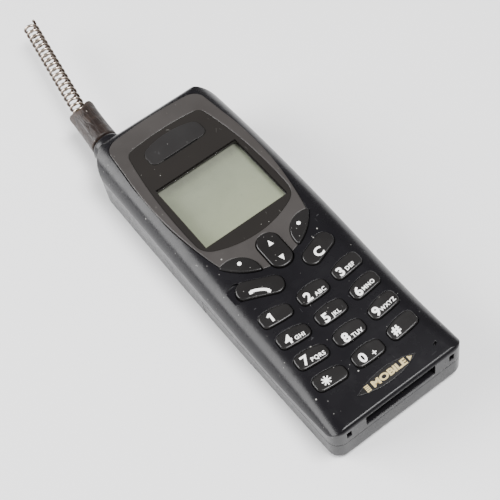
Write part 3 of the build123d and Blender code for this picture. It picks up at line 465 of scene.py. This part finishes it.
def oneMesh(height):
    # an upright stroke with a flag at its head
    work = bmesh.new()
    strokes = ((0.78, height, 0.3, 0, 0), (0.62, 1.25, -0.30, height / 2 - 0.62, -52))
    for wide, tall, x, y, turn in strokes:
        bar = bmesh.ops.create_cube(work, size=mm)["verts"]
        bmesh.ops.scale(work, vec=(wide, tall, 0.06), verts=bar)
        lean = Matrix.Rotation(math.radians(turn), 3, "Z")
        bmesh.ops.rotate(work, cent=(0, 0, 0), matrix=lean, verts=bar)
        bmesh.ops.translate(work, vec=(x * mm, y * mm, x * 4e-6), verts=bar)
    mesh = bpy.data.meshes.new("one")
    work.to_mesh(mesh)
    work.free()
    return mesh


for name, words in legends.items():
    meshes = []
    for word, x, y, height, turn in words:
        if word == "*":
            mesh = starMesh(height)
        elif word == "1":
            mesh = oneMesh(height)
        else:
            big = height > 2.5
            mesh = wordMesh(word, height, 0.145 if big else 0.035, 1.06 if big else 1.0,
                            spacing=1.0 if big else 1.12)
        meshes.append(centredOn(mesh, onFace(x, y, inkLift, turn)))
    keepPiece("legend_" + name[4:], joined(meshes), glowingInk, name)


def flatShape(build, thick=0.05):
    # a flat shape from bmesh operators, given a little thickness
    work = bmesh.new()
    build(work)
    raised = bmesh.ops.extrude_face_region(work, geom=work.faces[:])
    top = [v for v in raised["geom"] if isinstance(v, bmesh.types.BMVert)]
    bmesh.ops.translate(work, vec=(0, 0, thick * mm), verts=top)
    bmesh.ops.recalc_face_normals(work, faces=work.faces)
    mesh = bpy.data.meshes.new("flat")
    work.to_mesh(mesh)
    work.free()
    return mesh


def triangle(work):
    made = bmesh.ops.create_circle(work, cap_ends=True, radius=1.25 * mm, segments=3)["verts"]
    bmesh.ops.scale(work, vec=(0.82, 1.12, 1), verts=made)


def spot(work):
    bmesh.ops.create_circle(work, cap_ends=True, radius=0.68 * mm, segments=28)


def receiver(work):
    # a telephone receiver: a bowed grip between two square ends
    first = work.verts.new((0, 8.55 * mm, 0))
    second = work.verts.new((0, 9.5 * mm, 0))
    grip = work.edges.new((first, second))
    turn = math.radians(38)
    start = Matrix.Rotation(turn / 2, 3, "Z")
    bmesh.ops.rotate(work, cent=(0, 0, 0), matrix=start, verts=work.verts[:])
    bmesh.ops.spin(work, geom=[first, second, grip], cent=(0, 0, 0), axis=(0, 0, -1),
                   angle=turn, steps=14)
    for side in (-1, 1):
        pad = bmesh.ops.create_grid(work, x_segments=1, y_segments=1, size=mm)["verts"]
        bmesh.ops.scale(work, vec=(0.55, 0.50, 1), verts=pad)
        bmesh.ops.translate(work, vec=(0, 8.72 * mm, 1e-6), verts=pad)
        lean = Matrix.Rotation(side * turn / 2, 3, "Z")
        bmesh.ops.rotate(work, cent=(0, 0, 0), matrix=lean, verts=pad)


arrowUp = flatShape(triangle)
arrowUp.transform(onFace(0.25, 22.1, inkLift, 0))
arrowDown = flatShape(triangle)
arrowDown.transform(onFace(0.2, 15.9, inkLift, 180))
keepPiece("legend_scroll", joined([arrowUp, arrowDown]), glowingInk, "scroll_key")
for name, side in (("left", -1), ("right", 1)):
    dot = flatShape(spot)
    dot.transform(onFace(side * 11.8, 22.4, inkLift))
    keepPiece("legend_soft_" + name, dot, glowingInk, "soft_key_" + name)
phone = flatShape(receiver)
phone.transform(onFace(-12.3, 10.85, inkLift, -33) @ Matrix.Translation((0, -9 * mm, 0)))
keepPiece("legend_call", phone, glowingInk, "key_call")

plateWord = dict(word="MOBILE", height=2.05, bold=0.13, wide=1.32, x=0.9, y=-35.5, lift=0.02)
gilt = goldInk()


def stripes(work):
    for index in range(4):
        bar = bmesh.ops.create_grid(work, x_segments=1, y_segments=1, size=mm)["verts"]
        bmesh.ops.scale(work, vec=(0.75, 0.20, 1), verts=bar)
        bmesh.ops.translate(work, vec=(-7.3 * mm, (index - 1.5) * 0.58 * mm, 0), verts=bar)
    tip = bmesh.ops.create_circle(work, cap_ends=True, radius=1.0 * mm, segments=3)["verts"]
    aside = Matrix.Rotation(math.radians(-90), 3, "Z")
    bmesh.ops.rotate(work, cent=(0, 0, 0), matrix=aside, verts=tip)
    bmesh.ops.translate(work, vec=(8.6 * mm, 0, 0), verts=tip)


word = wordMesh(plateWord["word"], plateWord["height"], plateWord["bold"], plateWord["wide"], 0.02)
word = centredOn(word, onFace(plateWord["x"], plateWord["y"], plateWord["lift"]))
motif = flatShape(stripes, 0.03)
motif.transform(onFace(0, plateWord["y"], plateWord["lift"]))
keepPiece("plate_lettering", joined([word, motif]), gilt, "handset")
print("legends done")


antenna = dict(x=-15.9, z=12.5, start=74.1, mouth=94.0, radius=5.4, bore=4.1, lean=4.0,
               coilStart=87.0, coilEnd=147.5, coilLean=8.6, coilRadius=2.4, wire=0.54, pitch=2.95)


def coilMesh():
    work = bmesh.new()
    lean = math.radians(antenna["coilLean"])
    axis = Vector((math.sin(lean), math.cos(lean), 0))
    foot = Vector((antenna["x"], antenna["coilStart"], antenna["z"])) * mm
    made = bmesh.ops.create_circle(work, radius=antenna["wire"] * mm, segments=12)["verts"]
    # the section stands in the plane of the axis, out along +Z
    onEdge = Matrix.Rotation(math.radians(90), 3, "Y")
    bmesh.ops.rotate(work, cent=(0, 0, 0), matrix=onEdge, verts=made)
    bmesh.ops.rotate(work, cent=(0, 0, 0), matrix=Matrix.Rotation(-lean, 3, "Z"), verts=made)
    bmesh.ops.translate(work, vec=foot + Vector((0, 0, antenna["coilRadius"] * mm)), verts=made)
    length = (antenna["coilEnd"] - antenna["coilStart"]) / math.cos(lean)
    turns = length / antenna["pitch"]
    steps = 26
    end = work.edges[:] + work.verts[:]
    bmesh.ops.holes_fill(work, edges=work.edges[:])
    for index in range(int(turns)):
        loose = 1.0 + 0.10 * noise.noise(Vector((index * 0.9, 3.1, 0)))
        last = index >= int(turns) - 1
        rise = antenna["pitch"] * mm * loose * (1.12 if last else 1.0)
        made = bmesh.ops.spin(work, geom=end, cent=foot, axis=axis, dvec=axis * rise / steps,
                              angle=math.radians(-300 if last else -360), steps=steps)
        end = [g for g in made["geom_last"] if not isinstance(g, bmesh.types.BMFace)]
    bmesh.ops.holes_fill(work, edges=[g for g in end if isinstance(g, bmesh.types.BMEdge)])
    bmesh.ops.remove_doubles(work, verts=work.verts, dist=1e-6)
    bmesh.ops.recalc_face_normals(work, faces=work.faces)
    for face in work.faces:
        face.smooth = len(face.verts) == 4
    mesh = bpy.data.meshes.new("coil")
    work.to_mesh(mesh)
    work.free()
    return mesh


def sheathMesh():
    work = bmesh.new()
    segments = 56
    centre = Vector((antenna["x"], antenna["start"], antenna["z"])) * mm
    first = bmesh.ops.create_circle(work, radius=antenna["bore"] * mm, segments=segments)["verts"]
    upright = Matrix.Rotation(math.radians(-90), 3, "X")
    bmesh.ops.rotate(work, cent=(0, 0, 0), matrix=upright, verts=first)
    bmesh.ops.translate(work, vec=centre, verts=first)
    loop = work.edges[:]
    rings = [(0, antenna["radius"] - 0.5), (0.35, antenna["radius"])]
    tall = antenna["mouth"] - antenna["start"]
    for i in range(1, 17):
        waist = antenna["radius"] - 0.25 * math.sin(math.pi * i / 16)
        rings.append((0.35 + (tall - 0.9) * i / 16, waist))
    rings += [(tall - 0.15, antenna["radius"] - 0.35), (tall, antenna["radius"] - 0.7)]
    rings += [(tall - 0.5, antenna["bore"] + 0.1)]
    rings += [(tall - 1.5 - i * 1.6, antenna["bore"]) for i in range(4)]
    for height, radius in rings:
        grown = bmesh.ops.extrude_edge_only(work, edges=loop)["geom"]
        verts = [g for g in grown if isinstance(g, bmesh.types.BMVert)]
        loop = [g for g in grown if isinstance(g, bmesh.types.BMEdge)]
        middle = sum((v.co for v in verts), Vector()) / len(verts)
        shift = math.tan(math.radians(antenna["lean"])) * height
        target = centre + Vector((shift, height, 0)) * mm
        for v in verts:
            out = (v.co - middle).normalized()
            v.co = target + out * radius * mm
    # the mouth is worn down in front, and the wall is lumpy
    for v in work.verts:
        height = v.co.y / mm - antenna["start"]
        middle = centre.x + math.tan(math.radians(antenna["lean"])) * height * mm
        side = v.co - Vector((middle, v.co.y, centre.z))
        angle = math.atan2(side.x, side.z)
        wear = math.exp(-((angle + 0.25) / 0.85) ** 2)
        ragged = 0.35 * noise.noise(Vector((angle * 2.4, 1.3, 0)))
        ragged += 0.2 * noise.noise(Vector((angle * 7, 5, 0)))
        near = max(0.0, (height - 10.5) / (tall - 10.5))
        v.co.y -= (wear * 3.4 + ragged + 0.3) * near * mm
        lump = noise.noise(Vector((side.x, v.co.y * 0.45, side.z)) * 520) * 0.13
        lump += noise.noise(Vector((side.x, v.co.y, side.z)) * 1500) * 0.05
        if side.length > (antenna["bore"] + 0.6) * mm:
            v.co += side.normalized() * (lump - 0.08) * mm
    bmesh.ops.recalc_face_normals(work, faces=work.faces)
    for face in work.faces:
        face.smooth = True
    mesh = bpy.data.meshes.new("sheath")
    work.to_mesh(mesh)
    work.free()
    return mesh


coil = keepPiece("antenna_coil", coilMesh(), bronzedWire(), "antenna")
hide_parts("antenna_spring")
sheath = keepPiece("antenna_sheath_worn", sheathMesh(), wornRubber(), "antenna")
smooth = sheath.modifiers.new("smooth", "SUBSURF")
smooth.levels = 2
smooth.render_levels = 2
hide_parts("antenna_sheath")
print("antenna done")


studio = dict(floor=(0.87, 0.87, 0.875), cloud=(0.82, 0.82, 0.83), floorHalf=3.0, world=0.34,
              left=dict(place=(-0.80, 0.54, 0.46), size=(0.9, 0.65), power=27.0),
              top=dict(place=(0.20, -0.35, 1.0), size=(0.5, 0.35), power=22.0))
view = dict(place=(-92.51, -189.76, 323.33), right=(0.80066, -0.58422, -0.13279),
            down=(-0.55033, -0.62955, -0.54845), ahead=(0.23682, 0.51220, -0.82557), lens=82.75)


def paleFloor():
    finish = Finish("paleFloor", Roughness=0.55, Specular_IOR_Level=0.3)
    cloud = finish.noise(3.0, 2.0)
    finish.feed("Base Color", finish.mix(cloud * 0.2, studio["floor"], studio["cloud"]))
    work = bmesh.new()
    bmesh.ops.create_grid(work, x_segments=1, y_segments=1, size=studio["floorHalf"])
    mesh = bpy.data.meshes.new("floor")
    work.to_mesh(mesh)
    work.free()
    mesh.materials.append(finish.material)
    floor = bpy.data.objects.new("floor", mesh)
    bpy.context.scene.collection.objects.link(floor)
    floor.location.z = -0.00002


def softBox(name):
    user = studio[name]
    light = bpy.data.lights.new(name, "AREA")
    light.shape = "RECTANGLE"
    light.size, light.size_y = user["size"]
    light.energy = user["power"]
    lamp = bpy.data.objects.new(name, light)
    bpy.context.scene.collection.objects.link(lamp)
    lamp.location = user["place"]
    towards = -Vector(user["place"])
    lamp.rotation_euler = towards.to_track_quat("-Z", "Y").to_euler()


paleFloor()
world = bpy.data.worlds.new("studio")
world.use_nodes = True
world.node_tree.nodes["Background"].inputs[0].default_value = (1.0, 1.0, 1.0, 1)
world.node_tree.nodes["Background"].inputs[1].default_value = studio["world"]
bpy.context.scene.world = world
softBox("left")
softBox("top")

camera = bpy.data.objects.new("camera", bpy.data.cameras.new("camera"))
bpy.context.scene.collection.objects.link(camera)
camera.data.sensor_width = 36
camera.data.lens = view["lens"]
camera.data.clip_start = 0.01
right, down, ahead = (Vector(view[side]) for side in ("right", "down", "ahead"))
turn = Matrix((right, -down, -ahead)).transposed().to_4x4()
camera.matrix_world = Matrix.Translation(Vector(view["place"]) * mm) @ turn
bpy.context.scene.camera = camera
print("stage done")
